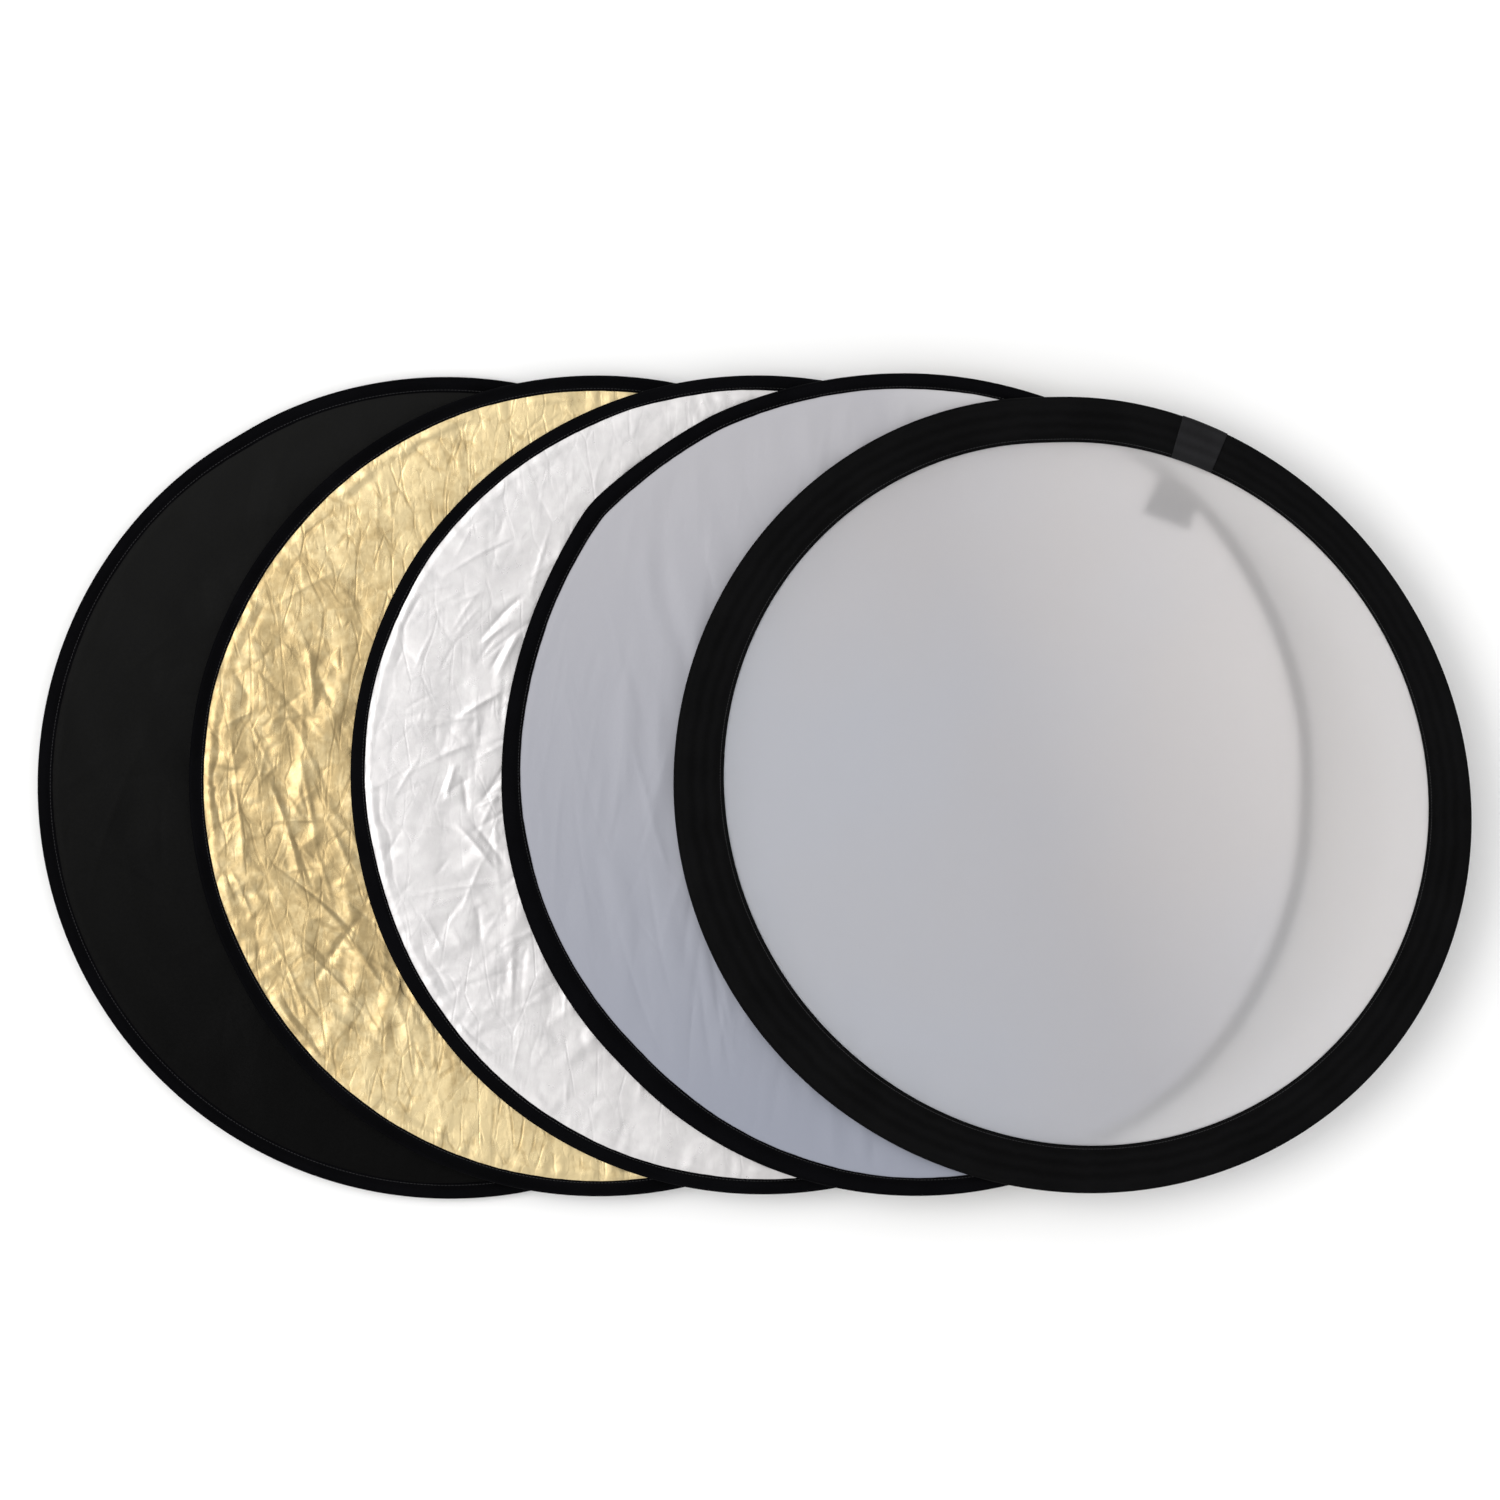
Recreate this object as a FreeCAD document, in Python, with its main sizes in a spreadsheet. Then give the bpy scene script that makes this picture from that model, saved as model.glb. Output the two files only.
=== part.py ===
import FreeCAD, Part
import os

import Sketcher

# A set of five pop-up reflector discs, lying flat and fanned out along X.
# Four discs are reversible zip covers drawn over a hooped core; the fifth is
# a bare core: a translucent panel held taut by a spring-steel hoop in a band.
# Every disc is drawn about its own centre, with its mid-plane at Z = 0, and
# is then placed in the fan. Sizes are in millimetres, angles in degrees.

DIMENSIONS = {
    # cover: outer radius at the binding, and its section at the rim
    "cover_radius": 300.0,
    "binding_width": 11.5,
    "binding_lip": 4.0,
    "rim_half": 5.0,
    "rim_chamfer": 1.4,
    "cover_level": 3.5,
    "cover_cloth": 0.4,
    "binding_cloth": 0.6,
    # zip and the sewn strip that fills the rest of the rim
    "zip_half": 1.7,
    "tape_radius": 296.8,
    "tape_cloth": 0.6,
    "bead_half": 1.1,
    "bead_height": 2.2,
    "zip_start": 50.0,
    "zip_sweep": 260.0,
    "strip_gap": 0.4,
    # fabric tab over the closed end of the zip
    "tab_angle": 48.0,
    "tab_sweep": 7.0,
    "tab_reach": 38.0,
    "tab_cloth": 0.6,
    # core: band, panel and hoop
    "band_radius": 291.0,
    "band_width": 34.0,
    "band_half": 3.2,
    "band_edge_half": 0.9,
    "band_chamfer": 1.0,
    "band_cloth": 0.6,
    "band_flat": 8.0,
    "panel_cloth": 0.4,
    "panel_hem": 8.0,
    "hoop_radius": 288.7,
    "hoop_strip": 0.8,
    "hoop_half": 2.3,
    "hoop_gap_sweep": 0.4,
    "joint_angle": 70.0,
    "ferrule_sweep": 8.0,
    "ferrule_wall": 0.4,
    "ferrule_lip": 0.25,
    "patch_sweep": 8.0,
    "patch_cloth": 0.5,
    # zip slider and pull
    "slider_angle": 53.6,
    "slider_clear": 0.3,
    "slider_plate": 1.2,
    "slider_half": 2.6,
    "slider_sweep": 2.7,
    "bridge_half_length": 4.1,
    "bridge_wall": 1.1,
    "bridge_opening": 2.0,
    "bridge_half_width": 0.55,
    "pull_bar_radius": 0.55,
    "pull_thickness": 1.0,
    "pull_window_half": 0.9,
    "pull_window_end": 5.0,
    "pull_neck_half": 1.9,
    "pull_half_width": 2.4,
    "pull_shoulder": 7.0,
    "pull_length": 26.0,
    "pull_chamfer": 1.2,
    # where each disc lies in the fan, from the lowest disc's centre
    "fan_centre_x": 225.0,
    "fan_centre_y": 1.0,
    "black_x": 0.0,
    "black_y": 0.0,
    "black_z": 5.0,
    "gold_x": 110.0,
    "gold_y": 1.5,
    "gold_z": 16.0,
    "silver_x": 229.0,
    "silver_y": 2.0,
    "silver_z": 27.0,
    "white_x": 341.0,
    "white_y": 1.5,
    "white_z": 38.0,
    "diffuser_x": 459.0,
    "diffuser_y": -5.0,
    "diffuser_z": 47.7,
}

COVERED_DISCS = ["black", "gold", "silver", "white"]
BARE_DISC = "diffuser"

doc = FreeCAD.newDocument("reflector_set")
sheet = doc.addObject("Spreadsheet::Sheet", "dims")
for row, (alias, value) in enumerate(DIMENSIONS.items(), start=1):
    sheet.set(f"A{row}", alias)
    sheet.set(f"B{row}", str(value))
    sheet.setAlias(f"B{row}", alias)
doc.recompute()

nodes = []


def bound(text):
    """Turns each dimension's name in a formula into a reference to its cell."""
    words = text.replace("(", " ( ").replace(")", " ) ").split()
    return " ".join("dims." + word if word in DIMENSIONS else word for word in words)


def place(piece, disc, angle="0"):
    """Puts a piece drawn about its disc's centre into the fan, turned about Z."""
    piece.Placement = FreeCAD.Placement()
    piece.setExpression("Placement.Base.x", bound(f"{disc}_x - fan_centre_x"))
    piece.setExpression("Placement.Base.y", bound(f"{disc}_y - fan_centre_y"))
    piece.setExpression("Placement.Base.z", bound(f"{disc}_z"))
    piece.setExpression("Placement.Rotation.Angle", bound(angle))
    nodes.append(piece)


def new_body(label):
    body = doc.addObject("PartDesign::Body", label)
    body.Label = label
    return body


def origin_plane(body, role):
    return next(item for item in body.Origin.OriginFeatures if item.Role == role)


def outline_sketch(body, name, role, corners, raised=None):
    """A closed outline of straight lines, each corner held by two formulas."""
    sketch = body.newObject("Sketcher::SketchObject", name)
    sketch.AttachmentSupport = (origin_plane(body, role), [""])
    sketch.MapMode = "FlatFace"
    if raised:
        sketch.setExpression("AttachmentOffset.Base.z", bound(raised))
    add_outline(sketch, corners)
    return sketch


def add_outline(sketch, corners):
    count = len(corners)
    first = sketch.GeometryCount
    start = [FreeCAD.Vector(10 * i, 10 * i * (count - i), 0) for i in range(count)]
    for i in range(count):
        line = Part.LineSegment(start[i], start[(i + 1) % count])
        sketch.addGeometry(line, False)
    for i in range(count):
        following = first + (i + 1) % count
        sketch.addConstraint(Sketcher.Constraint("Coincident", first + i, 2, following, 1))
    for i, (across, along) in enumerate(corners):
        line = first + i
        for kind, formula, current in (("DistanceX", across, start[i].x),
                                       ("DistanceY", along, start[i].y)):
            index = sketch.addConstraint(Sketcher.Constraint(kind, -1, 1, line, 1, current))
            sketch.setExpression(f"Constraints[{index}]", bound(formula))


def revolved_ring(label, disc, section, start_angle="0", sweep="360"):
    """A body of revolution about the disc's axis, from a section in its XZ plane."""
    body = new_body(label)
    sketch = outline_sketch(body, label + "_section", "XZ_Plane", section)
    turn = body.newObject("PartDesign::Revolution", label + "_turn")
    turn.Profile = sketch
    turn.ReferenceAxis = (sketch, ["V_Axis"])
    turn.setExpression("Angle", bound(sweep))
    place(body, disc, start_angle)


def mirrored(section):
    """The same section on the other side of the mid-plane."""
    return [(across, f"-1 * ( {along} )") for across, along in section]


def round_sheet(label, disc, radius, bottom, thickness):
    """A taut round sheet of cloth."""
    sheet_disc = doc.addObject("Part::Cylinder", label)
    sheet_disc.Label = label
    sheet_disc.setExpression("Radius", bound(radius))
    sheet_disc.setExpression("Height", bound(thickness))
    place(sheet_disc, disc)
    sheet_disc.setExpression("Placement.Base.z", bound(f"{disc}_z + ( {bottom} )"))


# ---------------------------------------------------------------- the core

BAND_INNER = "( band_radius - band_width )"
FLAT_START = "( band_radius - band_flat )"


def core_band(label, disc):
    """Strip folded round the hoop, sewn to the panel's hem at its inner edge."""
    hem_end = f"{BAND_INNER} + panel_hem"
    pocket = "band_half - band_cloth"
    upper = [
        (BAND_INNER, "panel_cloth / 2"),
        (BAND_INNER, "band_edge_half"),
        (FLAT_START, "band_half"),
        ("band_radius - band_chamfer", "band_half"),
        ("band_radius", "band_half - band_chamfer"),
    ]
    inside = [
        ("band_radius - 1.3 * band_cloth", f"-1 * ( {pocket} )"),
        ("band_radius - 1.3 * band_cloth", pocket),
        (FLAT_START, pocket),
        (hem_end, "panel_cloth / 2"),
    ]
    lower = mirrored(upper)[::-1]
    closing = [(hem_end, "-1 * panel_cloth / 2"), (FLAT_START, f"-1 * ( {pocket} )")]
    revolved_ring(label, disc, upper + lower + closing + inside)


def hoop(label, disc):
    """Spring-steel strip bent into a ring, standing on edge, with a small gap."""
    section = [
        ("hoop_radius - hoop_strip / 2", "-1 * hoop_half"),
        ("hoop_radius + hoop_strip / 2", "-1 * hoop_half"),
        ("hoop_radius + hoop_strip / 2", "hoop_half"),
        ("hoop_radius - hoop_strip / 2", "hoop_half"),
    ]
    revolved_ring(label, disc, section, "joint_angle + hoop_gap_sweep / 2", "360 - hoop_gap_sweep")


def hoop_ferrule(label, disc):
    """Steel sleeve crimped over the two ends of the strip."""
    body = new_body(label)
    outer = [
        ("hoop_radius - hoop_strip / 2 - ferrule_wall", "-1 * ( hoop_half + ferrule_lip )"),
        ("hoop_radius + hoop_strip / 2 + ferrule_wall", "-1 * ( hoop_half + ferrule_lip )"),
        ("hoop_radius + hoop_strip / 2 + ferrule_wall", "hoop_half + ferrule_lip"),
        ("hoop_radius - hoop_strip / 2 - ferrule_wall", "hoop_half + ferrule_lip"),
    ]
    channel = [
        ("hoop_radius - hoop_strip / 2", "-1 * hoop_half"),
        ("hoop_radius + hoop_strip / 2", "-1 * hoop_half"),
        ("hoop_radius + hoop_strip / 2", "hoop_half"),
        ("hoop_radius - hoop_strip / 2", "hoop_half"),
    ]
    sketch = outline_sketch(body, label + "_section", "XZ_Plane", outer)
    add_outline(sketch, channel)
    turn = body.newObject("PartDesign::Revolution", label + "_turn")
    turn.Profile = sketch
    turn.ReferenceAxis = (sketch, ["V_Axis"])
    turn.setExpression("Angle", bound("ferrule_sweep"))
    place(body, disc, "joint_angle - ferrule_sweep / 2")


def core(disc):
    hoop(disc + "_hoop", disc)
    hoop_ferrule(disc + "_hoop_ferrule", disc)
    core_band(disc + "_core_band", disc)
    round_sheet(disc + "_core_panel", disc, f"{BAND_INNER} + panel_hem",
                "-1 * panel_cloth / 2", "panel_cloth")


def joint_patch(label, disc):
    """Patch sewn across the band where the ends of the hoop meet."""
    under = [
        (BAND_INNER, "band_edge_half"),
        (FLAT_START, "band_half"),
        ("band_radius - band_chamfer", "band_half"),
        ("band_radius", "band_half - band_chamfer"),
    ]
    over = [
        (BAND_INNER, "band_edge_half + patch_cloth"),
        (FLAT_START, "band_half + patch_cloth"),
        ("band_radius - band_chamfer + 0.4 * patch_cloth", "band_half + patch_cloth"),
        ("band_radius + patch_cloth", "band_half - band_chamfer + 0.4 * patch_cloth"),
    ]
    section = under + mirrored(under)[::-1] + mirrored(over) + over[::-1]
    revolved_ring(label, disc, section, "joint_angle - patch_sweep / 2", "patch_sweep")


# --------------------------------------------------------------- the cover

LIP_RADIUS = "( cover_radius - binding_lip )"
COVER_TOP = "( cover_level + cover_cloth )"


def binding_section():
    """Tape folded over the edge of the cover and turned down to the zip."""
    return [
        ("cover_radius - binding_width", COVER_TOP),
        ("cover_radius - binding_width", f"{COVER_TOP} + binding_cloth"),
        (f"{LIP_RADIUS} - 1.5", "rim_half"),
        ("cover_radius - rim_chamfer", "rim_half"),
        ("cover_radius", "rim_half - rim_chamfer"),
        ("cover_radius", "zip_half"),
        (LIP_RADIUS, "zip_half"),
        (LIP_RADIUS, COVER_TOP),
    ]


def zip_section():
    """Two tapes side by side with the closed coil standing out between them."""
    face = "tape_radius + tape_cloth"
    return [
        ("tape_radius", "-1 * zip_half"),
        (face, "-1 * zip_half"),
        (face, "-1 * bead_half"),
        (f"{face} + bead_height", "-1 * bead_half"),
        (f"{face} + bead_height", "bead_half"),
        (face, "bead_half"),
        (face, "zip_half"),
        ("tape_radius", "zip_half"),
    ]


def strip_section():
    """Plain woven strip in the part of the rim that has no zip."""
    return [
        ("tape_radius", "-1 * zip_half"),
        ("tape_radius + 3 * tape_cloth", "-1 * zip_half"),
        ("tape_radius + 3 * tape_cloth", "zip_half"),
        ("tape_radius", "zip_half"),
    ]


def tab_section():
    """Tab lying on the face, over the binding and down the edge of the rim."""
    inner_end = "cover_radius - tab_reach"
    binding_edge = "cover_radius - binding_width"
    return [
        (inner_end, COVER_TOP),
        (binding_edge, COVER_TOP),
        (binding_edge, f"{COVER_TOP} + binding_cloth"),
        (f"{LIP_RADIUS} - 1.5", "rim_half"),
        ("cover_radius - rim_chamfer", "rim_half"),
        ("cover_radius", "rim_half - rim_chamfer"),
        ("cover_radius", "-1 * zip_half"),
        ("cover_radius + tab_cloth", "-1 * zip_half"),
        ("cover_radius + tab_cloth", "rim_half - rim_chamfer + 0.4 * tab_cloth"),
        ("cover_radius - rim_chamfer + 0.4 * tab_cloth", "rim_half + tab_cloth"),
        (f"{LIP_RADIUS} - 1.5", "rim_half + tab_cloth"),
        (f"{binding_edge} - tab_cloth", f"{COVER_TOP} + binding_cloth + tab_cloth"),
        (f"{binding_edge} - 2 * tab_cloth", f"{COVER_TOP} + tab_cloth"),
        (inner_end, f"{COVER_TOP} + tab_cloth"),
    ]


def cover(disc):
    round_sheet(disc + "_cover_face", disc, LIP_RADIUS, "cover_level", "cover_cloth")
    round_sheet(disc + "_cover_back", disc, LIP_RADIUS, f"-1 * {COVER_TOP}", "cover_cloth")
    revolved_ring(disc + "_binding_face", disc, binding_section())
    revolved_ring(disc + "_binding_back", disc, mirrored(binding_section()))
    revolved_ring(disc + "_zip_chain", disc, zip_section(), "zip_start", "zip_sweep")
    revolved_ring(disc + "_rim_strip", disc, strip_section(),
                  "zip_start + zip_sweep + strip_gap", "360 - zip_sweep - 2 * strip_gap")
    revolved_ring(disc + "_zip_end_tab", disc, tab_section(),
                  "tab_angle - tab_sweep / 2", "tab_sweep")


# ---------------------------------------------------- zip slider and pull

PLATE_INNER = "( cover_radius + slider_clear )"
PLATE_OUTER = "( cover_radius + slider_clear + slider_plate )"
PULL_AXIS = f"{PLATE_OUTER} + bridge_opening / 2"


def zip_slider(label, disc):
    """Slider plate that runs along the zip, with the arched bridge for the pull."""
    body = new_body(label)
    plate = [
        (PLATE_INNER, "-1 * slider_half"),
        (PLATE_OUTER, "-1 * slider_half"),
        (PLATE_OUTER, "slider_half"),
        (PLATE_INNER, "slider_half"),
    ]
    section = outline_sketch(body, label + "_section", "XZ_Plane", plate)
    turn = body.newObject("PartDesign::Revolution", label + "_plate")
    turn.Profile = section
    turn.ReferenceAxis = (section, ["V_Axis"])
    turn.Midplane = True
    turn.setExpression("Angle", bound("slider_sweep"))

    foot = f"{PLATE_INNER} + slider_plate / 2"
    under = f"{PLATE_OUTER} + bridge_opening"
    crown = f"{under} + bridge_wall"
    leg = "bridge_half_length - bridge_wall"
    arch = [
        (foot, "-1 * bridge_half_length"),
        (crown, "-1 * bridge_half_length"),
        (crown, "bridge_half_length"),
        (foot, "bridge_half_length"),
        (foot, leg),
        (under, leg),
        (under, f"-1 * ( {leg} )"),
        (foot, f"-1 * ( {leg} )"),
    ]
    outline = outline_sketch(body, label + "_arch", "XY_Plane", arch)
    bridge = body.newObject("PartDesign::Pad", label + "_bridge")
    bridge.Profile = outline
    bridge.Midplane = True
    bridge.setExpression("Length", bound("2 * bridge_half_width"))
    place(body, disc, "slider_angle")


def zip_pull(label, disc):
    """Pull tab lying along the rim; the round bar across its neck turns under the bridge."""
    body = new_body(label)
    tip = "pull_length - pull_chamfer"
    side = "pull_half_width - pull_chamfer"
    shoulder = [
        ("pull_window_end", "pull_neck_half"),
        ("pull_shoulder", "pull_half_width"),
        (tip, "pull_half_width"),
        ("pull_length", side),
    ]
    fork = [
        ("0", "-1 * pull_window_half"),
        ("pull_window_end", "-1 * pull_window_half"),
        ("pull_window_end", "pull_window_half"),
        ("0", "pull_window_half"),
        ("0", "pull_neck_half"),
    ]
    outline = outline_sketch(body, label + "_outline", "YZ_Plane",
                             [("0", "-1 * pull_neck_half")] + fork + shoulder
                             + mirrored(shoulder)[::-1], raised=PULL_AXIS)
    tab = body.newObject("PartDesign::Pad", label + "_tab")
    tab.Profile = outline
    tab.Midplane = True
    tab.setExpression("Length", bound("pull_thickness"))

    ring = body.newObject("Sketcher::SketchObject", label + "_bar_section")
    ring.AttachmentSupport = (origin_plane(body, "XY_Plane"), [""])
    ring.MapMode = "FlatFace"
    upright = FreeCAD.Vector(0, 0, 1)
    ring.addGeometry(Part.Circle(FreeCAD.Vector(1, 0, 0), upright, 1), False)
    for kind, formula in (("DistanceX", PULL_AXIS), ("DistanceY", "0")):
        index = ring.addConstraint(Sketcher.Constraint(kind, -1, 1, 0, 3, 1))
        ring.setExpression(f"Constraints[{index}]", bound(formula))
    index = ring.addConstraint(Sketcher.Constraint("Radius", 0, 1))
    ring.setExpression(f"Constraints[{index}]", bound("pull_bar_radius"))
    bar = body.newObject("PartDesign::Pad", label + "_bar")
    bar.Profile = ring
    bar.Midplane = True
    bar.setExpression("Length", bound("2 * pull_neck_half"))
    place(body, disc, "slider_angle")


# ------------------------------------------------------------- the whole set

for disc_name in COVERED_DISCS:
    core(disc_name)
    cover(disc_name)
    zip_slider(disc_name + "_zip_slider", disc_name)
    zip_pull(disc_name + "_zip_pull", disc_name)

core(BARE_DISC)
joint_patch(BARE_DISC + "_joint_patch", BARE_DISC)

doc.recompute()

for item in doc.Objects:
    if "Invalid" in item.State or "Error" in item.State:
        raise RuntimeError(f"{item.Label} failed: {item.State}")
for node in nodes:
    if node.Shape.isNull() or not node.Shape.isValid():
        raise RuntimeError(f"{node.Label} has no valid shape")

os.makedirs("parts", exist_ok=True)
for node in nodes:
    node.Shape.exportStep(f"parts/{node.Label}.step")
    print(f"{node.Label}: {node.Shape.Volume:.1f} mm3, solids {len(node.Shape.Solids)}")
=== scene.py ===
import math

import bpy
import numpy as np
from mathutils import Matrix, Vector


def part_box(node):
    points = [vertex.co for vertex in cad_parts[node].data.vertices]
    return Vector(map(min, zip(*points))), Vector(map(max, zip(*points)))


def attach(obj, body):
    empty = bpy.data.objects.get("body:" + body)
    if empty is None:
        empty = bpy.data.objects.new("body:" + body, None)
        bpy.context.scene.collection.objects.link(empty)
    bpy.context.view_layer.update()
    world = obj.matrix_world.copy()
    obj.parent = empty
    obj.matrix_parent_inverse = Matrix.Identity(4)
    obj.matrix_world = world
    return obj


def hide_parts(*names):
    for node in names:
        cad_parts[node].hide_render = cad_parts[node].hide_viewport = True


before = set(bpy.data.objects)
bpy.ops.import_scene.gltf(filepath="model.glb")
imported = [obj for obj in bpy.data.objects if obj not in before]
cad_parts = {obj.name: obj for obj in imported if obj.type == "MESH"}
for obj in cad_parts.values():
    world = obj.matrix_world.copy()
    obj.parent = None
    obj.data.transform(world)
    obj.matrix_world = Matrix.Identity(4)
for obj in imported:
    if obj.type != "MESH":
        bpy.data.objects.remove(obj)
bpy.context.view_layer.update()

# A fan of five pop-up reflector discs lying flat. Everything below is worked
# out in millimetres about each disc's own centre, and turned into metres in
# the row's frame by make_piece. Angles are in degrees, anticlockwise from +X.

MM = 0.001

COVERED = ["black", "gold", "silver", "white"]
BARE = "diffuser"
BACK_OF = {"black": "silver", "gold": "white", "silver": "black", "white": "gold"}


def node_box(node):
    """Lowest and highest corner of a CAD node, in millimetres."""
    low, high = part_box(node)
    return np.array(low) / MM, np.array(high) / MM


def node_centre(node):
    low, high = node_box(node)
    return (low + high) / 2


def node_radius(node):
    low, high = node_box(node)
    return (high[0] - low[0]) / 2


# in millimetres: each disc's centre, then the radii of a cover, of the cloth's edge under its
# binding, of the bare core, of its panel's hem and of the hoop's middle
CENTRE = {disc: node_centre(disc + "_core_panel") for disc in COVERED + [BARE]}
COVER_R = node_radius("black_binding_face")
LIP_R = node_radius("black_cover_face")
BAND_R = node_radius("diffuser_core_band")
HEM_R = node_radius("diffuser_core_panel")
HOOP_HALF = 0.4
HOOP_R = node_radius("diffuser_hoop") - HOOP_HALF

BINDING_WIDTH = 11.5
BAND_WIDTH = 34.0
BAND_INNER = BAND_R - BAND_WIDTH
# how deep a panel hangs: inside a cover, and bare
SAG = (0.0, 2.2)
# a cover cloth's hidden surface: (share of its radius, level)
COVER_BACKING = [(1.0, 3.35), (0.968, 3.3), (0.85, 1.7)]
ZIP_HALF = 1.7
TAPE_R = 296.8
COIL_PITCH = 1.5
COIL_SIZE = (2.3, 2.0, 1.15)
COIL_LEAN = 14.0
ZIP_START, ZIP_END = 50.0, 310.0
TAB_ANGLE, TAB_SWEEP, TAB_REACH = 48.0, 7.0, 38.0
# the tab hangs askew: slant of its right edge, how that slant shrinks to the left (at its
# middle, and per half width), and how its inner end is cut (at its middle, per half width)
TAB_SLANT = 28.0
TAB_FLARE = (0.72, 0.28)
TAB_CUT = (5.5, 7.5)
JOINT_ANGLE = 70.0
PATCH_ANGLE, PATCH_SWEEP = 70.7, 7.0
SLIDER_ANGLE, TRAVEL_END = 53.6, 305.6
# stitches: their pitch, length, width and height
STITCH_PITCH, STITCH_SIZE = 2.6, (1.9, 0.42, 0.34)

# ------------------------------------------------------------ random surfaces


def lattice(x, y, cell, seed):
    """Whole cell numbers, places inside the cell, and the cell's random table."""
    table = np.random.default_rng(seed).uniform(-1, 1, (97, 97))
    across, along = x / cell, y / cell
    i, j = np.floor(across).astype(int), np.floor(along).astype(int)
    return i, j, across - i, along - j, table


def corner(table, i, j):
    return table[i % len(table), j % len(table)]


def smooth_noise(x, y, cell, seed):
    """Soft swellings about one cell across, from -1 to 1."""
    i, j, u, v, table = lattice(x, y, cell, seed)
    u = u * u * (3 - 2 * u)
    v = v * v * (3 - 2 * v)
    near = corner(table, i, j) * (1 - u) + corner(table, i + 1, j) * u
    far = corner(table, i, j + 1) * (1 - u) + corner(table, i + 1, j + 1) * u
    return near * (1 - v) + far * v


def crumple(x, y, seed, count, sizes, slope, directions=(0, 360), stretch=1.0):
    """Overlapping tents: flat facets of cloth that meet at sharp straight creases.

    Each tent's ridge or valley runs in one of the directions, stretched along it.
    """
    rng = np.random.default_rng(seed)
    height = np.zeros_like(x)
    for _ in range(count):
        distance = COVER_R * math.sqrt(rng.uniform(0, 1))
        bearing = rng.uniform(0, 2 * math.pi)
        direction = math.radians(rng.uniform(*directions))
        size = rng.uniform(*sizes)
        steep = slope * rng.uniform(0.4, 1.6) * rng.choice([-1, 1])
        near_x, near_y = x - distance * math.cos(bearing), y - distance * math.sin(bearing)
        near = np.hypot(near_x, near_y) < stretch * size
        along = near_x[near] * math.cos(direction) + near_y[near] * math.sin(direction)
        across = near_y[near] * math.cos(direction) - near_x[near] * math.sin(direction)
        inside = np.clip(1 - (across ** 2 + (along / stretch) ** 2) / size ** 2, 0, None)
        height[near] += steep * (np.abs(across) - 0.35 * size) * inside ** 2
    return height


def fold_lines(x, y, folds):
    """Narrow creases: each is (middle x, y, direction, half length, width, height)."""
    height = np.zeros_like(x)
    for mid_x, mid_y, direction, half, width, rise in folds:
        c, s = math.cos(math.radians(direction)), math.sin(math.radians(direction))
        near = np.hypot(x - mid_x, y - mid_y) < half + 8 * width
        along = (x[near] - mid_x) * c + (y[near] - mid_y) * s
        across = (y[near] - mid_y) * c - (x[near] - mid_x) * s
        across += 0.05 * along * along / half
        fade = np.clip(1 - (along / half) ** 2, 0, None) ** 1.3
        height[near] += rise * fade * np.exp(-np.abs(across) / width)
    return height


def scattered_folds(seed, count, directions, halves, widths, rises):
    """A list of random creases all over a disc; each pair gives a range."""
    rng = np.random.default_rng(seed)
    folds = []
    for _ in range(count):
        distance = COVER_R * math.sqrt(rng.uniform(0, 1))
        bearing = rng.uniform(0, 2 * math.pi)
        folds.append((distance * math.cos(bearing), distance * math.sin(bearing),
                      rng.uniform(*directions), rng.uniform(*halves), rng.uniform(*widths),
                      rng.uniform(*rises) * rng.choice([-1, 1])))
    return folds


def ease(value, start, end):
    """0 before start, 1 after end, and smooth between them."""
    t = np.clip((value - start) / (end - start), 0, 1)
    return t * t * (3 - 2 * t)


# ------------------------------------------------- how the cloth of each disc lies

# the main folds, in the form that fold_lines takes
GOLD_FOLDS = [
    (-228, -32, -73, 42, 2.0, 1.1), (-178, -119, -54, 56, 2.0, 1.0),
    (-209, 77, -84, 25, 2.3, 1.2), (-261, 76, -60, 18, 2.0, -1.0),
    (-265, 49, 27, 19, 2.0, 0.9), (-262, -30, -84, 34, 2.0, 0.9),
    (-193, -121, 55, 38, 1.8, -0.8), (-171, -186, -37, 43, 1.8, 0.8),
    (-262, -78, -66, 22, 2.0, 0.9), (-250, -119, -82, 17, 2.0, -0.8),
    (-230, 107, -35, 20, 1.8, -0.8), (-210, 148, 29, 36, 1.8, 0.6),
    (-245, 37, -48, 8, 1.7, -0.8), (-134, -200, -88, 18, 1.8, -0.5),
]
SILVER_FOLDS = [
    (-188, 122, 46, 25, 1.8, -0.7), (-192, 111, 37, 16, 1.8, 0.7), (-183, 96, 62, 22, 1.9, 0.8),
    (-189, 95, 58, 15, 1.6, -0.6), (-203, 60, 30, 21, 2.0, 0.8), (-224, 26, 20, 17, 1.6, 0.5),
    (-227, 3, 73, 15, 2.2, 0.9), (-216, -7, -83, 15, 1.6, -0.6),
    (-200, -41, -53, 24, 1.8, -0.7), (-208, -46, -51, 25, 1.8, 0.7),
    (-200, -12, 25, 10, 1.6, 0.5), (-241, -108, -62, 18, 2.0, 0.5),
    (-207, -104, -87, 17, 1.8, -0.5), (-183, -144, -89, 29, 2.0, 0.5),
]


# where gold's folds are deepest, their share far from there, and how much silver's rim calms them
GOLD_DEEPEST = (-225, -45)
GOLD_FAR_SHARE = 0.36
GOLD_CALMED = 0.65


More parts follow.
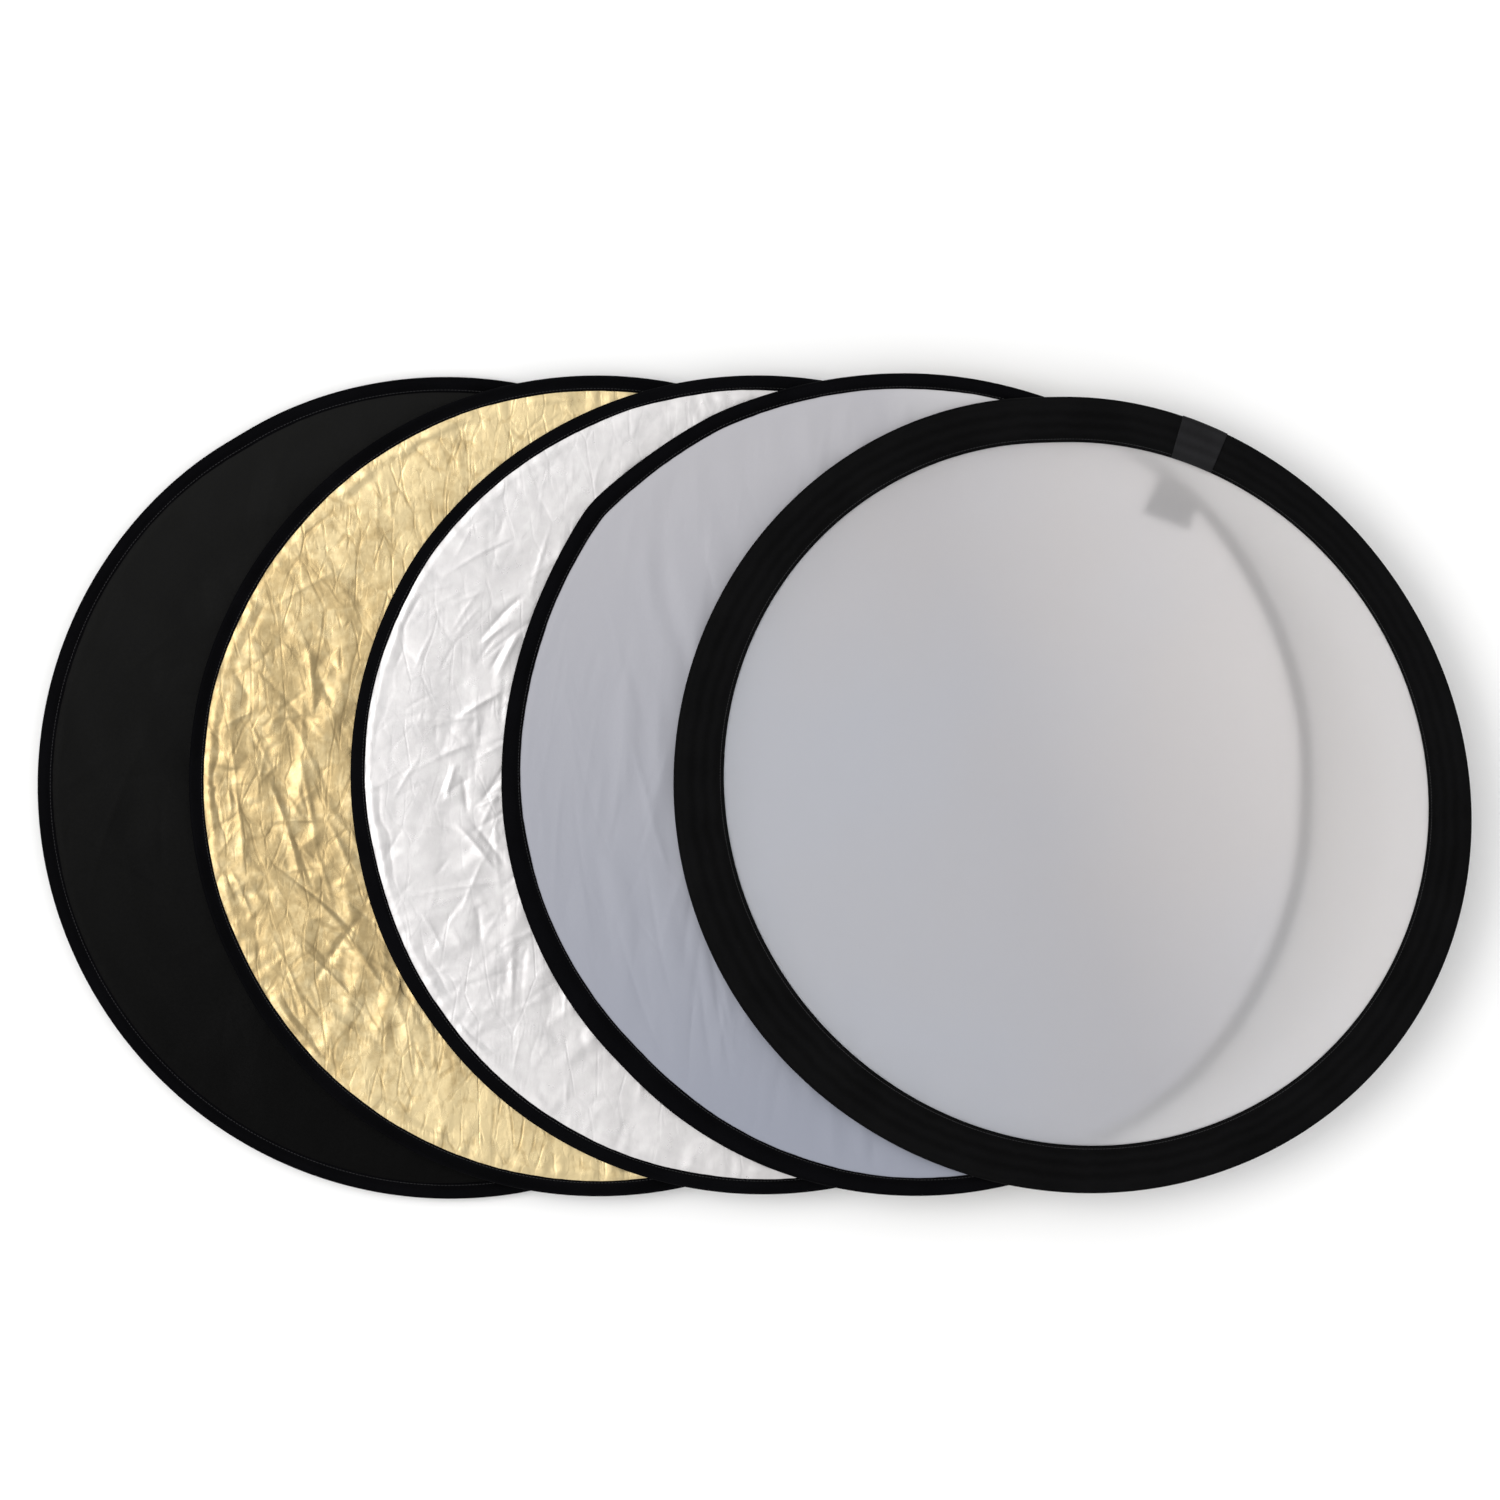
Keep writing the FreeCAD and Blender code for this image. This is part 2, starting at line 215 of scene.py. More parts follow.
def gold_cloth(x, y):
    away = np.hypot(x - GOLD_DEEPEST[0], y - GOLD_DEEPEST[1])
    rough = GOLD_FAR_SHARE + (1 - GOLD_FAR_SHARE) * ease(-away, -240, -85)
    # the silver disc's rim holds the cloth calm beside it, along its upper half
    over = CENTRE["silver"] - CENTRE["gold"]
    beside = np.hypot(x - over[0], y - over[1]) - COVER_R
    rough *= 1 - GOLD_CALMED * ease(-beside, -34, -5) * ease(y, -60, 10)
    facets = crumple(x, y, 11, 260, (14, 32), 0.078, (-110, -35), 1.9)
    facets += crumple(x, y, 12, 520, (8, 20), 0.078, stretch=1.3)
    lines = 1.3 * fold_lines(x, y, GOLD_FOLDS)
    lines += fold_lines(x, y, scattered_folds(21, 320, (-95, -40), (14, 60), (0.8, 1.4),
                                              (0.2, 0.7)))
    lines += fold_lines(x, y, scattered_folds(22, 460, (-90, 90), (8, 36), (0.8, 1.3),
                                              (0.15, 0.55)))
    return rough * (facets + 1.35 * lines)


def silver_cloth(x, y):
    facets = crumple(x, y, 31, 300, (12, 34), 0.024, (10, 90), 1.8)
    facets += crumple(x, y, 32, 900, (5, 12), 0.028, stretch=1.5)
    lines = fold_lines(x, y, SILVER_FOLDS)
    lines += fold_lines(x, y, scattered_folds(41, 480, (0, 95), (9, 44), (0.8, 1.4),
                                              (0.08, 0.34)))
    lines += fold_lines(x, y, scattered_folds(42, 420, (-90, 90), (6, 24), (0.8, 1.3),
                                              (0.06, 0.26)))
    return facets + 1.15 * lines


def white_cloth(x, y):
    wave = 0.6 * smooth_noise(x, y, 90, 51)
    wave += crumple(x, y, 52, 260, (12, 30), 0.09, (74, 106), 2.2)
    upright = scattered_folds(55, 190, (68, 108), (24, 70), (1.5, 3.0), (0.3, 1.0))
    fine = scattered_folds(56, 260, (55, 125), (8, 30), (1.2, 1.8), (0.08, 0.35))
    fine += scattered_folds(57, 60, (-60, 10), (8, 26), (1.2, 1.8), (0.08, 0.3))
    lower = 0.4 + 0.6 * ease(-y, -60, 120)
    return wave + lower * fold_lines(x, y, upright) + fold_lines(x, y, fine)


def black_cloth(x, y):
    wave = 0.5 * smooth_noise(x, y, 80, 61) + crumple(x, y, 62, 360, (16, 60), 0.03)
    faint = scattered_folds(65, 140, (-90, 90), (16, 60), (1.8, 3.6), (0.12, 0.5))
    return wave + fold_lines(x, y, faint)


def diffuser_cloth(x, y):
    return 0.3 * smooth_noise(x, y, 110, 71) + 0.05 * smooth_noise(x * 3, y * 0.6, 30, 73)


# height of the small gathers that the binding makes along a cloth's edge
PUCKER = {"gold": 0.9, "silver": 0.4, "white": 0.15, "black": 0.25}
# height of the roll that lies just inside the binding
ROLL = {"gold": 0.6, "silver": 0.25, "white": 0.1, "black": 0.1}

CLOTH_LIE = {"gold": gold_cloth, "silver": silver_cloth, "white": white_cloth,
             "black": black_cloth, "diffuser": diffuser_cloth}

# ------------------------------------------- how far each rim is out of round

# lobes: (count, height, direction); kinks: (direction, height, spread in degrees)
RIM_LOBES = {"black": [(0, 1.7, 0), (2, 0.8, 130)], "gold": [(2, 0.9, 100)],
             "silver": [(2, 0.8, 150)], "white": [(2, 0.8, 120)],
             "diffuser": [(1, 2.6, 184), (2, 6.8, 133), (3, 1.6, -29)]}
RIM_KINKS = {"black": [(121, -1.8, 6)], "gold": [(166, 1.2, 12), (208, -1.2, 10)],
             "silver": [(145, 2.6, 24), (190, -1.6, 14), (215, -3.0, 26)],
             "white": [(139, 13.0, 16), (118, 4.2, 16), (224, -4.6, 24), (184, 1.2, 14),
                       (-2, -7.0, 34)],
             "diffuser": [(94, -3.6, 16)]}


def turn_between(angle, other):
    return (angle - other + 180) % 360 - 180


def out_of_round(disc, angle):
    """How much further out than its circle the rim stands, in millimetres."""
    total = np.zeros_like(angle)
    for count, height, direction in RIM_LOBES[disc]:
        total += height * np.cos(np.radians(count * (angle - direction)))
    for direction, height, spread in RIM_KINKS[disc]:
        away = np.sqrt(turn_between(angle, direction) ** 2 + 4.0) / spread
        total += height * np.exp(-away)
    if disc != BARE:
        for stop in (SLIDER_ANGLE, TRAVEL_END):
            total *= ease(np.abs(turn_between(angle, stop)), 6, 26)
    return total


def warped(disc, radius, angle, level):
    """Points on a disc in millimetres, pulled out of round with its rim."""
    rim = BAND_R if disc == BARE else COVER_R
    reach = radius + out_of_round(disc, angle) * radius / rim
    turn = np.radians(angle)
    points = np.stack([reach * np.cos(turn), reach * np.sin(turn), level + 0 * angle], axis=-1)
    return points + CENTRE[disc]


# ------------------------------------------------------------- making meshes


def signed_volume(points, faces):
    """Six times the volume inside closed surfaces; negative if their faces look inward."""
    total = 0.0
    for length in sorted({len(face) for face in faces}):
        group = np.array([face for face in faces if len(face) == length])
        for k in range(1, length - 1):
            a, b, c = points[group[:, 0]], points[group[:, k]], points[group[:, k + 1]]
            total += float(np.einsum("ij,ij->", a, np.cross(b, c)))
    return total


def make_piece(name, points, faces, body, material, replaced=()):
    """A mesh object of closed surfaces that rides on a body."""
    if name in replaced:
        name += "_made"
    points = points.reshape(-1, 3) * MM
    if signed_volume(points - points.mean(axis=0), faces) < 0:
        faces = [face[::-1] for face in faces]
    mesh = bpy.data.meshes.new(name)
    mesh.from_pydata(points.tolist(), [], faces)
    mesh.shade_smooth()
    mesh.materials.append(material)
    piece = bpy.data.objects.new(name, mesh)
    bpy.context.scene.collection.objects.link(piece)
    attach(piece, body)
    if replaced:
        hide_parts(*replaced)
    return piece


def loop_faces(rows, columns, ring):
    """Quads over a grid of points whose columns close on themselves."""
    index = np.arange(rows * columns).reshape(rows, columns)
    here, there = (index, np.roll(index, -1, axis=0)) if ring else (index[:-1], index[1:])
    quads = np.stack([here, there, np.roll(there, -1, axis=1), np.roll(here, -1, axis=1)], axis=-1)
    faces = quads.reshape(-1, 4).tolist()
    if not ring:
        faces.append(index[0].tolist())
        faces.append(index[-1][::-1].tolist())
    return faces


def swept(name, disc, profile, angles, material, replaced, lean=None):
    """A closed profile carried round a disc. profile(angle) gives radius and level arrays.

    lean(angle, radius) turns its points back by some degrees, for a piece that lies at a slant.
    """
    ring = angles[-1] - angles[0] > 359.9
    if ring:
        angles = angles[:-1]
    radius, level = profile(angles[:, None])
    turned = angles[:, None] - (lean(angles[:, None], radius) if lean else 0 * radius)
    points = warped(disc, radius, turned, level)
    faces = loop_faces(points.shape[0], points.shape[1], ring)
    return make_piece(name, points, faces, disc + "_disc", material, replaced)


def disc_grid(steps, finer_left):
    """A square grid bent into a unit disc; finer_left (0 to 0.5) crowds its cells to -X."""
    line = np.linspace(-1, 1, steps + 1)
    crowded = line - finer_left * (1 - line * line)
    upright = line * (1 - finer_left * 0.6 * (1 - line * line))
    a, b = np.meshgrid(crowded, upright, indexing="ij")
    wide = np.abs(a) > np.abs(b)
    safe_a, safe_b = np.where(a == 0, 1, a), np.where(b == 0, 1, b)
    turn = np.where(wide, math.pi / 4 * b / safe_a, math.pi / 2 - math.pi / 4 * a / safe_b)
    reach = np.where(wide, a, b)
    return reach * np.cos(turn), reach * np.sin(turn)


def cloth_sheet(name, disc, radius, steps, heights, side, material, backing=None,
                thickness=0.36):
    """A round closed cloth; side is 1 facing up, -1 facing down.

    Its hidden surface goes through backing, a list of (share of the radius, level), and
    without one it follows the front at the given thickness.
    """
    unit_x, unit_y = disc_grid(steps, 0.0 if backing is None else 0.32)
    x, y = unit_x * radius, unit_y * radius
    distance = np.hypot(x, y)
    angle = np.degrees(np.arctan2(y, x))
    front = heights(x, y, distance, angle)
    outer = warped(disc, distance, angle, side * front).reshape(-1, 3)
    index = np.arange(x.size).reshape(x.shape)
    quads = np.stack([index[:-1, :-1], index[1:, :-1], index[1:, 1:], index[:-1, 1:]], axis=-1)
    quads = quads.reshape(-1, 4)
    edge = np.concatenate([index[:-1, 0], index[-1, :-1], index[:0:-1, -1], index[0, :0:-1]])
    following = np.roll(edge, -1)
    if backing is None:
        inner = warped(disc, distance, angle, side * (front - thickness)).reshape(-1, 3)
        under, under_next = edge + x.size, following + x.size
        hidden = (quads[:, ::-1] + x.size).tolist()
    else:
        rim_distance, rim_angle = distance.reshape(-1)[edge], angle.reshape(-1)[edge]
        rings = [warped(disc, rim_distance * share, rim_angle, side * level + 0 * rim_angle)
                 for share, level in backing]
        inner = np.concatenate(rings + [rings[-1].mean(axis=0)[None]])
        loops = x.size + np.arange(len(rings) * len(edge)).reshape(len(rings), -1)
        beyond = np.roll(loops, -1, axis=1)
        under, under_next = loops[0], beyond[0]
        strips = np.stack([loops[:-1], loops[1:], beyond[1:], beyond[:-1]], axis=-1)
        middle = np.full(len(edge), x.size + loops.size)
        hidden = strips.reshape(-1, 4).tolist()
        hidden += np.stack([beyond[-1], loops[-1], middle], axis=-1).tolist()
    wall = np.stack([edge, under, under_next, following], axis=-1)
    faces = np.concatenate([quads, wall]).tolist() + hidden
    points = np.concatenate([outer, inner])
    return make_piece(name, points, faces, disc + "_disc", material, [name])


def smooth_profile(corners, per_side=3):
    """Points along a closed outline with its corners eased, as folded cloth has."""
    corners = np.array(corners, dtype=float)
    following = np.roll(corners, -1, axis=0)
    steps = np.arange(per_side)[None, :, None] / per_side
    dense = (corners[:, None] * (1 - steps) + following[:, None] * steps).reshape(-1, 2)
    eased = (np.roll(dense, 1, axis=0) + 2 * dense + np.roll(dense, -1, axis=0)) / 4
    return eased[:, 0], eased[:, 1]


# ----------------------------------------------------------------- materials


# width of a crease line in the metallised films
CREASE_MM = 1.1


class Nodes:
    """Short calls for the nodes of one material."""

    def __init__(self, name):
        self.material = bpy.data.materials.new(name)
        self.material.use_nodes = True
        self.tree = self.material.node_tree
        self.shader = self.tree.nodes["Principled BSDF"]
        self.output = self.tree.nodes["Material Output"]
        self.place = self.add("ShaderNodeTexCoord").outputs["Object"]

    def add(self, kind, links=None, **settings):
        node = self.tree.nodes.new(kind)
        for key, value in settings.items():
            if hasattr(node, key):
                setattr(node, key, value)
            else:
                node.inputs[key.replace("_", " ").title()].default_value = value
        for socket, source in (links or {}).items():
            self.tree.links.new(source, node.inputs[socket])
        return node

    def stretch(self, scale, turn=0.0):
        node = self.add("ShaderNodeMapping", {"Vector": self.place})
        node.inputs["Scale"].default_value = scale
        node.inputs["Rotation"].default_value = (0, 0, math.radians(turn))
        return node.outputs["Vector"]

    def noise(self, scale, detail=2.0, place=None):
        node = self.add("ShaderNodeTexNoise", {"Vector": place or self.place})
        node.inputs["Scale"].default_value = scale
        node.inputs["Detail"].default_value = detail
        return node.outputs["Fac"]

    def threads(self, direction, pitch_mm, wobble=0.6):
        node = self.add("ShaderNodeTexWave", {"Vector": self.place}, bands_direction=direction)
        node.inputs["Scale"].default_value = 0.314 / (pitch_mm * MM)
        node.inputs["Distortion"].default_value = wobble
        node.inputs["Detail"].default_value = 1.0
        node.inputs["Detail Scale"].default_value = 1.5
        return node.outputs["Fac"]

    def creases(self, cells_per_metre):
        """Broken networks of fine sharp lines, 1 on the flat and lower along a line."""
        drawn_out = self.stretch((1, 0.4, 1))
        bend = self.add("ShaderNodeTexNoise", {"Vector": drawn_out})
        bend.inputs["Scale"].default_value = cells_per_metre * 0.9
        shift = self.add("ShaderNodeVectorMath", {0: bend.outputs["Color"]}, operation="SCALE")
        shift.inputs["Scale"].default_value = 0.4 / cells_per_metre
        place = self.add("ShaderNodeVectorMath", {0: drawn_out, 1: shift.outputs[0]},
                         operation="ADD")
        cells = self.add("ShaderNodeTexVoronoi", {"Vector": place.outputs[0]},
                         feature="DISTANCE_TO_EDGE")
        cells.inputs["Scale"].default_value = cells_per_metre
        steep = 1 / (CREASE_MM * MM * cells_per_metre)
        groove = self.blend(cells.outputs["Distance"], steep, "MULTIPLY")
        gap = self.blend(self.noise(cells_per_metre * 0.6, 2), 5.0, "MULTIPLY")
        gap = self.blend(gap, 2.0, "SUBTRACT")
        return self.blend(self.blend(groove, gap, "MAXIMUM"), 1.0, "MINIMUM")

    def blend(self, first, second, kind="ADD"):
        node = self.add("ShaderNodeMath", {0: first}, operation=kind)
        if isinstance(second, (int, float)):
            node.inputs[1].default_value = second
        else:
            self.tree.links.new(second, node.inputs[1])
        return node.outputs[0]

    def ramp(self, source, stops):
        node = self.add("ShaderNodeValToRGB", {"Fac": source})
        elements = node.color_ramp.elements
        while len(elements) < len(stops):
            elements.new(0.5)
        for element, (where, colour) in zip(elements, stops):
            element.position = where
            element.color = (*colour, 1)
        return node.outputs["Color"]

    def bump(self, height, distance_mm, strength=1.0, under=None):
        node = self.add("ShaderNodeBump", {"Height": height})
        node.inputs["Distance"].default_value = distance_mm * MM
        node.inputs["Strength"].default_value = strength
        if under is not None:
            self.tree.links.new(under, node.inputs["Normal"])
        return node.outputs["Normal"]

    def join(self, source, socket):
        self.tree.links.new(source, self.shader.inputs[socket])

    def fix(self, **settings):
        for key, value in settings.items():
            socket = key.replace("_", " ").title().replace("Ior", "IOR")
            self.shader.inputs[socket].default_value = value


def shade(colour, factor):
    return tuple(min(1.0, channel * factor) for channel in colour)


def weave(nodes, pitch_mm, directions="XY"):
    """Crossing threads, from 0 in the gaps to 1 on top."""
    crossed = nodes.threads(directions[0], pitch_mm)
    for direction in directions[1:]:
        crossed = nodes.blend(crossed, nodes.threads(direction, pitch_mm))
    return nodes.blend(crossed, 1 / len(directions), "MULTIPLY")


def woven(name, colour, pitch_mm, spread=0.18, roughness=0.7, sheen=0.3, weave_mm=0.08,
          gloss=0.08, painted_light_top_colour=None, painted_light_right_colour=None, directions="XY"):
    """Plain woven cloth with slightly uneven colour, a weave and a soft sheen.

    With a top colour, the cloth goes over to it from its lower to its upper side as painted
    light, and with a right colour it goes over to that one towards its right, also painted light.
    """
    nodes = Nodes(name)
    cloth = weave(nodes, pitch_mm, directions)
    patchy = nodes.blend(nodes.blend(nodes.noise(28, 3), cloth), 0.5, "MULTIPLY")
    # painted light: with a top colour, the cloth lightens from its lower to its upper side
    if painted_light_top_colour:
        up = nodes.add("ShaderNodeSeparateXYZ", {"Vector": nodes.stretch((0, 1.9, 0))})
        patchy = nodes.blend(nodes.blend(up.outputs["Y"], 0.5),
                             nodes.blend(nodes.blend(patchy, 0.5, "SUBTRACT"), spread, "MULTIPLY"))
        stops = [(0.04, colour), (0.96, painted_light_top_colour)]
    else:
        stops = [(0.3, shade(colour, 1 - spread)), (0.7, shade(colour, 1 + spread))]
    dye_and_painted_light = nodes.ramp(patchy, stops)
    # painted light: with a right colour, the cloth lightens towards its right
    if painted_light_right_colour:
        side = nodes.add("ShaderNodeVectorMath", {0: nodes.place}, operation="DOT_PRODUCT")
        side.inputs[1].default_value = (1.0, 0.4, 0)
        share = nodes.ramp(side.outputs["Value"], [(0.20, (0, 0, 0)), (0.45, (1, 1, 1))])
        mix = nodes.add("ShaderNodeMixRGB", {"Fac": share, "Color1": dye_and_painted_light},
                        Color2=(*painted_light_right_colour, 1))
        dye_and_painted_light = mix.outputs["Color"]
    nodes.join(dye_and_painted_light, "Base Color")
    nodes.join(nodes.bump(cloth, weave_mm, 0.6,
                          nodes.bump(nodes.noise(260, 2), 0.25, 0.35)), "Normal")
    fine = nodes.noise(420, 2)
    nodes.join(nodes.ramp(fine, [(0.2, (roughness - 0.08,) * 3),
                                 (0.8, (roughness + 0.08,) * 3)]), "Roughness")
    nodes.fix(Sheen_Weight=sheen, Sheen_Roughness=0.4, Specular_IOR_Level=gloss)
    return nodes.material


def metallised(name, dark, mid, light, metallic, roughness, crinkle_mm, crease_rub_and_shade, depths, painted_light_ends=0.0):
    """Metallised film on cloth: finely creased, glossy in patches, darker along creases, partly
    rubbed dull and partly painted shade.

    The depths are those of its wide, close and fine creases; the last argument lightens its
    two far ends as painted light.
    """
    nodes = Nodes(name)
    tone = nodes.blend(nodes.noise(34, 4), nodes.noise(150, 3), "ADD")
    # painted light: the film lightens towards its two far ends, top and bottom
    up = nodes.add("ShaderNodeSeparateXYZ", {"Vector": nodes.stretch((0, 3.4, 0))}).outputs["Y"]
    ends = nodes.blend(nodes.blend(up, up, "MULTIPLY"), painted_light_ends, "MULTIPLY")
    wide, close, fine = (nodes.creases(cells_per_metre) for cells_per_metre in (36, 80, 190))
    # painted shade and rubbing: the colour darkens along the creases, partly as film rubbed dull
    # and partly as painted shade in the creases
    rubbed_and_shaded = nodes.blend(nodes.blend(wide, close, "ADD"), crease_rub_and_shade, "MULTIPLY")
    tone = nodes.blend(nodes.blend(nodes.blend(tone, 0.5, "MULTIPLY"), rubbed_and_shaded), 2 * crease_rub_and_shade, "SUBTRACT")
    tone = nodes.blend(tone, ends)
    nodes.join(nodes.ramp(tone, [(0.05, shade(dark, 0.5)), (0.32, dark), (0.5, mid),
                                 (0.70, light)]), "Base Color")
    surface = nodes.bump(nodes.noise(70, 5), crinkle_mm, 0.8)
    for crease, depth in zip((wide, close, fine), depths):
        surface = nodes.bump(crease, crinkle_mm * depth, 0.9, surface)
    nodes.join(nodes.bump(weave(nodes, 0.5), 0.03, 0.4, surface), "Normal")
    nodes.join(nodes.ramp(nodes.noise(90, 3), [(0.3, (roughness - 0.07,) * 3),
                                               (0.7, (roughness + 0.09,) * 3)]), "Roughness")
    nodes.fix(Metallic=metallic)
    return nodes.material


def sheer(name, painted_shade_colour, painted_lit_colour, through, share):
    """Thin white cloth that scatters part of the light through to its other side, painted
    bluer and darker at lower left and warmer and lighter at upper right as painted light.
    """
    nodes = Nodes(name)
    fibres = nodes.blend(nodes.threads("X", 0.45), nodes.threads("Y", 0.45))
    slub = nodes.blend(nodes.noise(1.0, 3, nodes.stretch((520, 9, 9))), 0.12, "MULTIPLY")
    # painted light: the colour goes from the shaded colour to the lit one towards the right and
    # top
    side = nodes.add("ShaderNodeVectorMath", {0: nodes.place}, operation="DOT_PRODUCT")
    side.inputs[1].default_value = (1.7, 1.0, 0)
    tone = nodes.blend(nodes.blend(side.outputs["Value"], slub), nodes.noise(5, 2))
    nodes.join(nodes.ramp(nodes.blend(tone, 0.45, "SUBTRACT"), [(0.15, painted_shade_colour), (0.80, painted_lit_colour)]),
               "Base Color")
    surface = nodes.bump(fibres, 0.03, 0.3)
    nodes.join(surface, "Normal")
    nodes.fix(Roughness=0.75, Sheen_Weight=0.1)
    back = nodes.add("ShaderNodeBsdfTranslucent", {"Normal": surface})
    back.inputs["Color"].default_value = (*through, 1)
    mix = nodes.add("ShaderNodeMixShader", {1: nodes.shader.outputs[0], 2: back.outputs[0]})
    mix.inputs["Fac"].default_value = share
    nodes.tree.links.new(mix.outputs[0], nodes.output.inputs["Surface"])
    return nodes.material


def enamel(name, colour, roughness):
    """Black enamelled die casting, rubbed brighter in small spots."""
    nodes = Nodes(name)
    rubbed = nodes.noise(900, 5)
    nodes.join(nodes.ramp(rubbed, [(0.35, shade(colour, 0.9)), (0.62, shade(colour, 1.15)),
                                   (0.80, shade(colour, 4.5))]), "Base Color")
    nodes.join(nodes.ramp(rubbed, [(0.4, (roughness,) * 3), (0.8, (roughness * 0.7,) * 3)]),
               "Roughness")
    nodes.join(nodes.bump(nodes.noise(1500, 2), 0.012, 0.4), "Normal")
    nodes.fix(Metallic=0.35, Coat_Weight=0.2, Coat_Roughness=0.3, Specular_IOR_Level=0.35)
    return nodes.material


def steel(name, colour, roughness):
    """Rolled steel strip with fine lines along it."""
    nodes = Nodes(name)
    lines = nodes.noise(1.0, 2, nodes.stretch((60, 60, 2600)))
    nodes.join(nodes.ramp(lines, [(0.3, shade(colour, 0.85)), (0.7, shade(colour, 1.1))]),
               "Base Color")
    nodes.join(nodes.bump(lines, 0.01, 0.5), "Normal")
    nodes.fix(Roughness=roughness, Metallic=1.0)
    return nodes.material


def nylon(name, colour):
    """Moulded nylon coil."""
    nodes = Nodes(name)
    nodes.join(nodes.ramp(nodes.noise(300, 2), [(0.3, shade(colour, 0.85)),
                                                (0.7, shade(colour, 1.25))]), "Base Color")
    nodes.join(nodes.bump(nodes.noise(1800, 2), 0.02, 0.3), "Normal")
    nodes.fix(Roughness=0.38)
    return nodes.material


CLOTH = {
    # painted light: black is lighter towards its upper side, as painted sheen
    "black": woven("black_taffeta", (0.0005, 0.0005, 0.0005), 0.55, spread=0.25, sheen=0.010,
                   roughness=0.48, gloss=0.04, painted_light_top_colour=(0.0060, 0.0060, 0.0058)),
    # painted light: gold is lightened towards its top and bottom ends
    "gold": metallised("gold_film", (0.34, 0.25, 0.12), (0.415, 0.313, 0.156),
                       (0.56, 0.45, 0.25), 0.9, 0.31, 0.12, 0.14, (0.9, 1.0, 0.5), 0.30),
    "silver": metallised("silver_film", (0.50, 0.49, 0.49), (0.545, 0.53, 0.53),
                         (0.59, 0.58, 0.575), 0.7, 0.33, 0.04, 0.05, (1.6, 0.9, 0.3)),
    # painted light: white is lighter towards its upper side and much lighter towards its right
    "white": woven("white_taffeta", (0.25, 0.265, 0.32), 0.5, spread=0.12, sheen=0.02,
                   roughness=0.55, weave_mm=0.04, gloss=0.35, painted_light_top_colour=(0.38, 0.375, 0.40),
                   painted_light_right_colour=(0.80, 0.79, 0.78)),
    # painted light: the diffuser is bluer and darker at lower left, warmer and lighter at upper
    # right
    "diffuser": sheer("diffusion_silk", (0.76, 0.785, 0.84), (0.80, 0.78, 0.78),
                      (0.925, 0.918, 0.918), 0.75),
}
BAND_CLOTH = woven("band_nylon", (0.0026, 0.0026, 0.0028), 0.7, spread=0.5, sheen=0.006,
                   gloss=0.03, weave_mm=0.12, directions="XYZ")
BINDING_CLOTH = woven("binding_tape", (0.0015, 0.0015, 0.0020), 0.7, spread=0.5, sheen=0.004,
                      gloss=0.02, weave_mm=0.12, directions="XYZ")
PATCH_CLOTH = woven("patch_tape", (0.0105, 0.0105, 0.0115), 0.8, spread=0.4, sheen=0.02,
                    gloss=0.08, weave_mm=0.14, directions="XYZ")
THREAD = woven("sewing_thread", (0.012, 0.012, 0.013), 0.4, sheen=0.04, roughness=0.5,
               gloss=0.3)
STRIP_STEEL = steel("spring_strip", (0.42, 0.43, 0.46), 0.3)
SLEEVE_STEEL = steel("sleeve_steel", (0.6, 0.6, 0.62), 0.35)
COIL_NYLON = nylon("zip_coil", (0.018, 0.018, 0.019))
ZIP_ENAMEL = enamel("zip_enamel", (0.016, 0.016, 0.017), 0.42)

# ------------------------------------------------------------------- the core


def around(start=0.0, end=360.0, step_mm=3.0):
    count = int((end - start) / 360 * 2 * math.pi * COVER_R / step_mm)
    return np.linspace(start, end, max(count, 4) + 1)


def rectangle(inner, outer, half):
    corners = [(inner, -half), (outer, -half), (outer, half), (inner, half)]
    return np.array(corners)[:, 0], np.array(corners)[:, 1]


def hoop(disc):
    def profile(angle):
        radius, level = rectangle(HOOP_R - HOOP_HALF, HOOP_R + HOOP_HALF, 2.3)
        return radius + 0 * angle, level + 0 * angle

    swept(disc + "_hoop", disc, profile, around(JOINT_ANGLE + 0.2, JOINT_ANGLE + 359.8),
          STRIP_STEEL, [disc + "_hoop"])


def hoop_ferrule(disc):
    start, end = JOINT_ANGLE - 4, JOINT_ANGLE + 4

    def profile(angle):
        dents = np.exp(-((np.abs(turn_between(angle, JOINT_ANGLE)) - 2.2) / 0.35) ** 2)
        outer_r, outer_z = rectangle(HOOP_R - 0.8, HOOP_R + 0.8, 2.55)
        squeeze = 1 - 0.3 * dents
        return HOOP_R + (outer_r - HOOP_R) * squeeze, outer_z + 0 * angle

    swept(disc + "_hoop_ferrule", disc, profile, around(start, end, 0.8),
          SLEEVE_STEEL, [disc + "_hoop_ferrule"])


# half sections of the folded band: (distance out from its inner edge, level)
BAND_OUTER = [
    (0.0, 0.3), (0.0, 0.75), (1.2, 1.15), (3.0, 1.2), (8.0, 1.6), (15.0, 2.2), (22.0, 2.75),
    (26.0, 3.05), (29.0, 3.2), (31.5, 3.15), (33.2, 2.5), (34.0, 1.2),
]
BAND_INSIDE = [(33.2, 1.1), (32.2, 2.4), (29.0, 2.6), (24.0, 2.35), (8.5, 0.35)]


def band_spread(disc, angle):
    """The bare band reads wider at lower left, where it leans over the hoop."""
    extra = 0 * angle
    if disc == BARE:
        extra = 3.6 * np.cos(np.radians(angle - 219)) + 1.4 * np.cos(np.radians(3 * (angle + 29)))
    return (BAND_WIDTH + extra) / BAND_WIDTH


